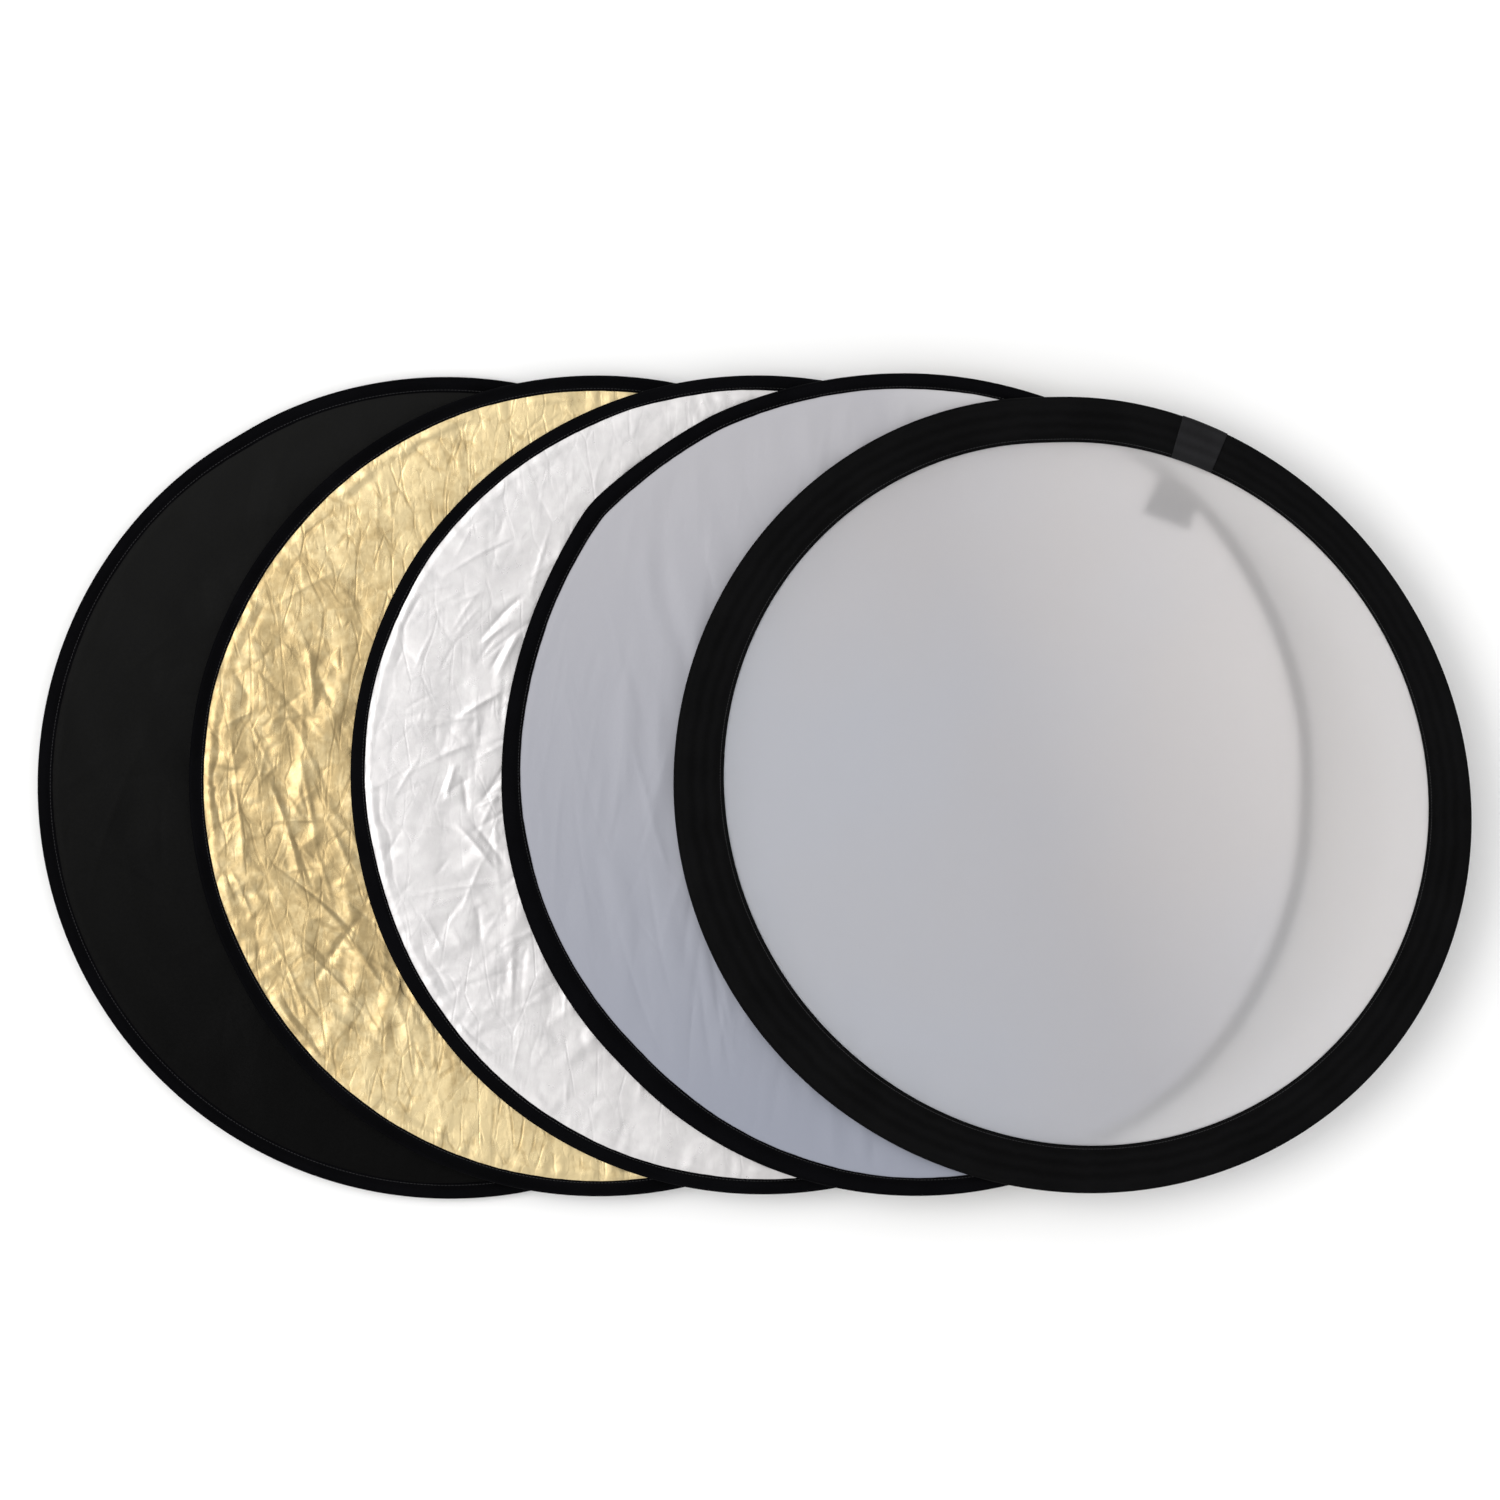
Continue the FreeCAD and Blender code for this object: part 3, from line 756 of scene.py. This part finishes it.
def band_ripple(disc, angle, along):
    """Slight gathers of the band, strongest at its sewn inner edge."""
    seed = 80 + len(disc)
    turn = angle * math.pi / 180 * BAND_R
    pucker = smooth_noise(turn, 0 * turn, 7.0, seed) + 0.6 * smooth_noise(turn, 0 * turn, 23.0,
                                                                         seed + 1)
    return pucker * (0.10 * np.exp(-along / 6.0) + 0.05)


def core_band(disc, step_mm):
    upper = np.array(BAND_OUTER)
    inside = np.array(BAND_INSIDE)
    flip = np.array([1, -1])
    outline = np.concatenate([upper, (upper * flip)[::-1], (inside * flip)[::-1], inside])

    def profile(angle):
        along, level = outline[:, 0], outline[:, 1]
        spread = band_spread(disc, angle)
        radius = BAND_R - (BAND_WIDTH - along) * spread
        lift = band_ripple(disc, angle, along) * np.sign(level)
        return radius, level + lift

    swept(disc + "_core_band", disc, profile, around(0, 360, step_mm), BAND_CLOTH,
          [disc + "_core_band"])


def core_panel(disc, steps):
    def heights(x, y, distance, angle):
        calm = 1 - ease(distance, HEM_R - 40, HEM_R - 8)
        return 0.18 + calm * CLOTH_LIE["diffuser"](x, y) - SAG[disc == BARE] * calm

    panel = cloth_sheet(disc + "_core_panel", disc, HEM_R, steps, heights, 1,
                        CLOTH["diffuser"])


def joint_patch(disc):
    upper = np.array(BAND_OUTER)
    flip = np.array([1, -1])
    over = upper + np.array([[0, 0.5]]) * np.minimum(1, (36 - upper[:, :1]) / 4)
    over[-1] = (34.5, 1.2)
    over[-2] = (33.7, 2.8)
    outline = np.concatenate([upper[1:], (upper[1:] * flip)[::-1], over[1:] * flip,
                              over[1:][::-1]])
    half = PATCH_SWEEP / 2

    def profile(angle):
        spread = band_spread(disc, angle)
        edge = ease(half - np.abs(turn_between(angle, PATCH_ANGLE)), 0, 0.35)
        along, level = outline[:, 0], outline[:, 1]
        count = len(upper) - 1
        thick = np.concatenate([np.zeros(2 * count), np.ones(2 * count)])
        bulge = 0.12 * edge * thick * np.sign(level)
        radius = BAND_R - (BAND_WIDTH - along) * spread + 0.05
        return radius, level + bulge + 0.04 * np.sign(level)

    swept(disc + "_joint_patch", disc, profile,
          around(PATCH_ANGLE - half, PATCH_ANGLE + half, 1.2), PATCH_CLOTH,
          [disc + "_joint_patch"])


def core(disc, steps, step_mm):
    hoop(disc)
    hoop_ferrule(disc)
    core_band(disc, step_mm)
    core_panel(disc, steps)


# ------------------------------------------------------------------ the cover


# where a binding reads wider or narrower than nominal: (height in mm, direction, spread)
BINDING_LEAN = {"white": [(6.3, 222, 45), (1.5, 138, 9)],
                "silver": [(-1.8, 150, 60), (2.2, 197, 14)],
                "gold": [(-0.8, 150, 60)], "black": [(-0.6, 150, 60)]}


def binding_extra(disc, angle):
    """How much wider than nominal a binding reads where the rim is rolled over."""
    return sum(height * np.exp(-(turn_between(angle, direction) / spread) ** 2)
               for height, direction, spread in BINDING_LEAN[disc])


# section of a folded binding: (distance out from its inner edge, level)
BINDING = [
    (0.0, 3.95), (0.0, 4.35), (0.6, 4.62), (2.4, 4.62), (3.6, 4.85), (6.5, 5.0), (9.0, 5.0),
    (10.4, 4.75), (11.2, 4.1), (11.5, 3.1), (11.5, 1.9), (11.1, 1.72), (7.6, 1.72), (7.5, 2.8),
    (7.5, 3.9),
]


def binding(disc, side, step_mm):
    name = disc + ("_binding_face" if side > 0 else "_binding_back")
    outline = np.array(BINDING)
    seed = 200 + len(disc) * 7 + side

    def profile(angle):
        along, level = outline[:, 0], outline[:, 1]
        turn = angle * math.pi / 180 * COVER_R
        gather = smooth_noise(turn, 0 * turn, 6.0, seed)
        drift = smooth_noise(turn, 0 * turn, 38.0, seed + 1)
        inner = 1 - ease(along, 0.0, 7.0)
        wider = inner * (binding_extra(disc, angle) + 0.35 * drift + 0.12 * gather)
        lift = 0.07 * gather * ease(level, 4.2, 4.6) * inner
        return COVER_R - BINDING_WIDTH + along - wider, side * (level + lift)

    swept(name, disc, profile, around(0, 360, step_mm), BINDING_CLOTH, [name])


def cover_cloth(disc, side, steps):
    name = disc + ("_cover_face" if side > 0 else "_cover_back")
    look = disc if side > 0 else BACK_OF[disc]

    def heights(x, y, distance, angle):
        inside = COVER_R - BINDING_WIDTH - binding_extra(disc, angle) - distance
        over_band = ease(distance, BAND_INNER - 30, BAND_INNER - 6)
        room = (1.5 - 0.5 * over_band) * ease(inside, -1, 18)
        turn = angle * math.pi / 180 * COVER_R
        gather = PUCKER[look] * smooth_noise(turn, 0.35 * distance, 6.5, 300 + len(disc))
        gather *= np.exp(-np.clip(inside, 0, None) / 9) * ease(inside, -1, 3)
        patchy = ease(smooth_noise(turn, 0 * turn, 26.0, 310 + len(disc)), -0.3, 0.7)
        width = 1 + 0.35 * smooth_noise(turn, 0 * turn, 17.0, 320 + len(disc))
        roll = (np.exp(-((inside - 4.5 * width) / 3.0) ** 2)
                - np.exp(-np.abs(inside - 10 * width) / 1.6))
        lie = CLOTH_LIE[look](x, y)
        level = 3.92 + (0.5 * over_band - 0.1) * ease(inside, -0.5, 5)
        folds = gather + ROLL[look] * patchy * roll + room * np.tanh(lie / 1.2)
        beside = ease(np.abs(turn_between(angle, TAB_ANGLE - 1.5)), 5.6, 8.5)
        within = ease(-distance, TAB_REACH - COVER_R + 5, TAB_REACH - COVER_R + 25)
        return level + folds * np.maximum(beside, within)

    cloth = cloth_sheet(name, disc, LIP_R - 0.6, steps, heights, side,
                        CLOTH[look], backing=COVER_BACKING)


def tape(name, disc, outer, start, end, material):
    def profile(angle):
        radius, level = smooth_profile([(TAPE_R, -ZIP_HALF), (outer, -ZIP_HALF),
                                        (outer, ZIP_HALF), (TAPE_R, ZIP_HALF)], 2)
        return radius + 0 * angle, level + 0 * angle

    return swept(name, disc, profile, around(start, end, 4), material, [name])


def spindle_points(length, width, height):
    """A small closed body, blunt at both ends, lying along its first axis."""
    rings = [(-1.0, 0.45), (-0.6, 1.0), (0.6, 1.0), (1.0, 0.45)]
    sides = np.linspace(0, 2 * math.pi, 6, endpoint=False)
    points = [(along * length / 2, reach * width / 2 * math.cos(side),
               reach * height / 2 * math.sin(side))
              for along, reach in rings for side in sides]
    return np.array(points)


SPINDLE_FACES = loop_faces(4, 6, False)


def spindles(name, disc, angles, radii, levels, turns, size, material):
    """Many small bodies on a disc: stitches or the turns of a zip's coil."""
    shape = spindle_points(*size)
    base = warped(disc, radii, angles, levels)
    heading = np.radians(angles + 90)
    tilt = np.radians(turns)
    along = np.stack([np.cos(heading) * np.cos(tilt), np.sin(heading) * np.cos(tilt),
                      np.sin(tilt)], axis=-1)
    outward = np.stack([np.cos(np.radians(angles)), np.sin(np.radians(angles)), 0 * angles],
                       axis=-1)
    up = np.cross(outward, along)
    points = (base[:, None] + shape[None, :, :1] * along[:, None]
              + shape[None, :, 1:2] * outward[:, None] + shape[None, :, 2:] * up[:, None])
    count = len(shape)
    faces = [[corner_index + count * k for corner_index in face]
             for k in range(len(angles)) for face in SPINDLE_FACES]
    return make_piece(name, points, faces, disc + "_disc", material)


def zip_coil(disc):
    pitch = COIL_PITCH / (math.pi / 180 * COVER_R)
    angles = np.arange(ZIP_START + 0.3, ZIP_END - 0.3, pitch)
    turns = 90 + COIL_LEAN * (np.arange(len(angles)) % 2 * 2 - 1)
    spindles(disc + "_zip_coil", disc, angles, np.full_like(angles, TAPE_R + 1.7), 0 * angles,
             turns, COIL_SIZE, COIL_NYLON)


def stitching(disc, suffix, radius, level, side=1, extra=None):
    """A ring of stitches; extra(angles) tells how much further in than radius they lie."""
    pitch = STITCH_PITCH / (math.pi / 180 * COVER_R)
    angles = np.arange(0, 360 - pitch / 2, pitch)
    radii = radius - (extra(angles) if extra else 0 * angles)
    spindles(disc + suffix, disc, angles, radii, side * level + 0 * angles, 0 * angles,
             STITCH_SIZE, THREAD)


def zip_end_tab(disc):
    inner = TAB_REACH
    width = BINDING_WIDTH
    under = [(inner, 0, 4.42), (width + 1, 0, 4.5), (width - 0.3, 0, 4.75), (width - 4, 0, 5.06),
             (2.5, 0, 5.06), (0.8, 0, 4.7), (-0.06, 0, 3.6), (-0.06, 0, 1.0), (-0.06, 0, -1.7)]
    over = [(inner, 0, 4.75), (width + 1, 0, 5.0), (width - 0.6, 0, 5.3), (width - 4, 0, 5.6),
            (2.4, 0, 5.6), (0.2, 0, 5.1), (-0.6, 0, 3.7), (-0.6, 0, 1.0), (-0.6, 0, -1.7)]
    outline = np.array(under + over[::-1])[:, ::2]
    half = TAB_SWEEP / 2
    is_over = np.array([0] * len(under) + [1] * len(over))

    def profile(angle):
        off_middle = turn_between(angle, TAB_ANGLE) / half
        crown = 0.1 * ease((1 - np.abs(off_middle)) * half, 0, 0.5) * is_over
        reach, level = outline[:, 0], outline[:, 1]
        waver = 0.4 * smooth_noise(angle * 5.2, 0 * angle, 5.0, 400)
        cut = TAB_CUT[0] - TAB_CUT[1] * off_middle
        slanted = (cut + waver) * (reach == inner)
        return COVER_R - reach + slanted, level + crown

    def lean(angle, radius):
        inward = np.clip(COVER_R - width - radius, 0, None)
        flare = TAB_FLARE[0] - TAB_FLARE[1] * turn_between(angle, TAB_ANGLE) / half
        return flare * np.degrees(inward * math.tan(math.radians(TAB_SLANT)) / radius)

    swept(disc + "_zip_end_tab", disc, profile,
          around(TAB_ANGLE - half, TAB_ANGLE + half, 1.5), PATCH_CLOTH,
          [disc + "_zip_end_tab"], lean)


def cover(disc, steps, back_steps, step_mm):
    cover_cloth(disc, 1, steps)
    cover_cloth(disc, -1, back_steps)
    binding(disc, 1, step_mm)
    binding(disc, -1, step_mm)
    tape(disc + "_zip_chain", disc, TAPE_R + 0.7, ZIP_START, ZIP_END,
         BINDING_CLOTH)
    zip_coil(disc)
    tape(disc + "_rim_strip", disc, TAPE_R + 1.9, ZIP_END + 0.4, ZIP_START + 359.6,
         BINDING_CLOTH)
    zip_end_tab(disc)
    for suffix, side in (("_face_stitching", 1), ("_back_stitching", -1)):
        stitching(disc, suffix, COVER_R - BINDING_WIDTH + 1.6, 4.66, side,
                  extra=lambda angle: binding_extra(disc, angle))


def finish_metal(disc):
    """The slider and its pull keep their CAD shape, in black enamel."""
    for node in (disc + "_zip_slider", disc + "_zip_pull"):
        for slot_of_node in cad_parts[node].material_slots:
            slot_of_node.material = ZIP_ENAMEL


# -------------------------------------------------------- camera, floor, light

# the picture's width on the silver disc and its middle, from the black disc's centre
FRAME_WIDTH = 1097.6
FRAME_MIDDLE = (221.7, 27.8, 0)
CAMERA_LENS = 170.0
SENSOR = 36.0
KEY_DIRECTION = (-0.53, 0.10, 0.842)
# brightness of the studio round the object: (cosine of the angle to the key, level)
SKY = [(0.0, 0.66), (0.18, 0.44), (0.35, 0.31), (0.63, 0.40), (0.80, 0.62), (0.92, 0.95),
       (1.0, 1.0)]
SKY_STRENGTH = 1.85


def camera():
    data = bpy.data.cameras.new("camera")
    data.lens = CAMERA_LENS
    data.sensor_width = SENSOR
    seat = bpy.data.objects.new("camera", data)
    bpy.context.scene.collection.objects.link(seat)
    middle = CENTRE["black"] + np.array(FRAME_MIDDLE)
    level = CENTRE["silver"][2]
    distance = FRAME_WIDTH * CAMERA_LENS / SENSOR
    seat.location = (middle[0] * MM, middle[1] * MM, (level + distance) * MM)
    data.clip_end = 50
    bpy.context.scene.camera = seat


def area_light(name, place, size, power, colour):
    data = bpy.data.lights.new(name, "AREA")
    data.shape = "DISK"
    data.size = size
    data.energy = power
    data.color = colour
    lamp = bpy.data.objects.new(name, data)
    lamp.location = place
    direction = -np.array(place) / np.linalg.norm(place)
    pitch = math.acos(-direction[2])
    yaw = math.atan2(direction[0], -direction[1])
    lamp.rotation_euler = (pitch, 0, yaw + math.pi)
    bpy.context.scene.collection.objects.link(lamp)


def studio():
    nodes = Nodes("floor_paper")
    nodes.join(nodes.ramp(nodes.noise(3, 2), [(0.3, (0.90,) * 3), (0.7, (0.92,) * 3)]),
               "Base Color")
    nodes.fix(Roughness=0.9)
    half, level = 8.0, -0.0003
    mesh = bpy.data.meshes.new("floor")
    mesh.from_pydata([(-half, -half, level), (half, -half, level), (half, half, level),
                      (-half, half, level)], [], [(0, 1, 2, 3)])
    mesh.materials.append(nodes.material)
    floor = bpy.data.objects.new("floor", mesh)
    bpy.context.scene.collection.objects.link(floor)

    world = bpy.data.worlds.new("studio")
    world.use_nodes = True
    tree = world.node_tree
    seen = tree.nodes.new("ShaderNodeTexCoord").outputs["Generated"]
    facing = tree.nodes.new("ShaderNodeVectorMath")
    facing.operation = "DOT_PRODUCT"
    facing.inputs[1].default_value = KEY_DIRECTION
    tree.links.new(seen, facing.inputs[0])
    ramp = tree.nodes.new("ShaderNodeValToRGB")
    while len(ramp.color_ramp.elements) < len(SKY):
        ramp.color_ramp.elements.new(0.5)
    for element, (where, level) in zip(ramp.color_ramp.elements, SKY):
        element.position = where
        element.color = (level, level, level, 1)
    tree.links.new(facing.outputs["Value"], ramp.inputs["Fac"])
    tree.links.new(ramp.outputs["Color"], tree.nodes["Background"].inputs["Color"])
    tree.nodes["Background"].inputs["Strength"].default_value = SKY_STRENGTH
    bpy.context.scene.world = world
    area_light("key", 4.5 * np.array(KEY_DIRECTION), 2.6, 45, (1.0, 0.985, 0.96))
    bpy.context.scene.view_settings.view_transform = "Standard"


# ---------------------------------------------------------------- the whole set

camera()
studio()

# cells across each face cloth; the backs and hidden panels are coarser
FINE = {"gold": 300, "silver": 300, "white": 260, "black": 200}
for disc_name in COVERED:
    front_steps = FINE[disc_name] // 1
    core(disc_name, 40, 12.0)
    cover(disc_name, front_steps, 110, 3.0)
    finish_metal(disc_name)

core(BARE, 150, 2.5)
joint_patch(BARE)
stitching(BARE, "_inner_stitching", BAND_R - BAND_WIDTH + 2.4, 1.24,
          extra=lambda angle: (band_spread(BARE, angle) - 1) * (BAND_WIDTH - 2.4))
